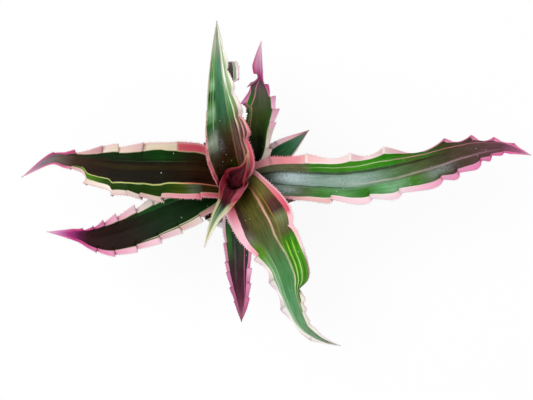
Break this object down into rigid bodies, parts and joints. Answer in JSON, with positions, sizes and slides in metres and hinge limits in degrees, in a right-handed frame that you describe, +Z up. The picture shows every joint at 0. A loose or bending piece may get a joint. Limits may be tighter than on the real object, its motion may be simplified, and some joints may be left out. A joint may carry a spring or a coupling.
{
  "type": "potted earth star",
  "caption": "Earth star houseplant: a low rosette of ruffled, striped, pink-edged leaves on a short stem in a small plain white pot.",
  "frame": {"origin": "centre of the pot's flat underside", "axes": "+Z up along the pot and the stem, +X towards the side of the longest leaf, +Y towards the upright top leaf"},
  "size_m": [0.3254, 0.1895, 0.1573],
  "materials": {
    "pot_glaze": "smooth white glaze",
    "potting_mix": "rough, crumbly",
    "stem_bark": "dull",
    "leaf_striped": "semi-gloss, striped lengthwise with pink margins",
    "leaf_dark": "semi-gloss, dark with pale pink margins",
    "leaf_heart": "semi-gloss, maroon",
    "leaf_old": "dull, dried"
  },
  "bodies": {
    "root": {"pot": "pot_glaze", "soil": "potting_mix", "stem": "stem_bark", "bud_leaf": "leaf_heart", "young_leaf": "leaf_heart", "top_leaf": "leaf_striped", "front_leaf": "leaf_striped", "right_leaf": "leaf_striped", "left_leaf": "leaf_dark", "lower_left_leaf": "leaf_dark", "upper_right_leaf": "leaf_dark", "rear_leaf": "leaf_dark", "short_right_leaf": "leaf_dark", "short_front_leaf": "leaf_dark", "old_leaf_1": "leaf_old", "old_leaf_2": "leaf_old", "old_leaf_3": "leaf_old", "old_leaf_4": "leaf_old"}
  },
  "joints": []
}
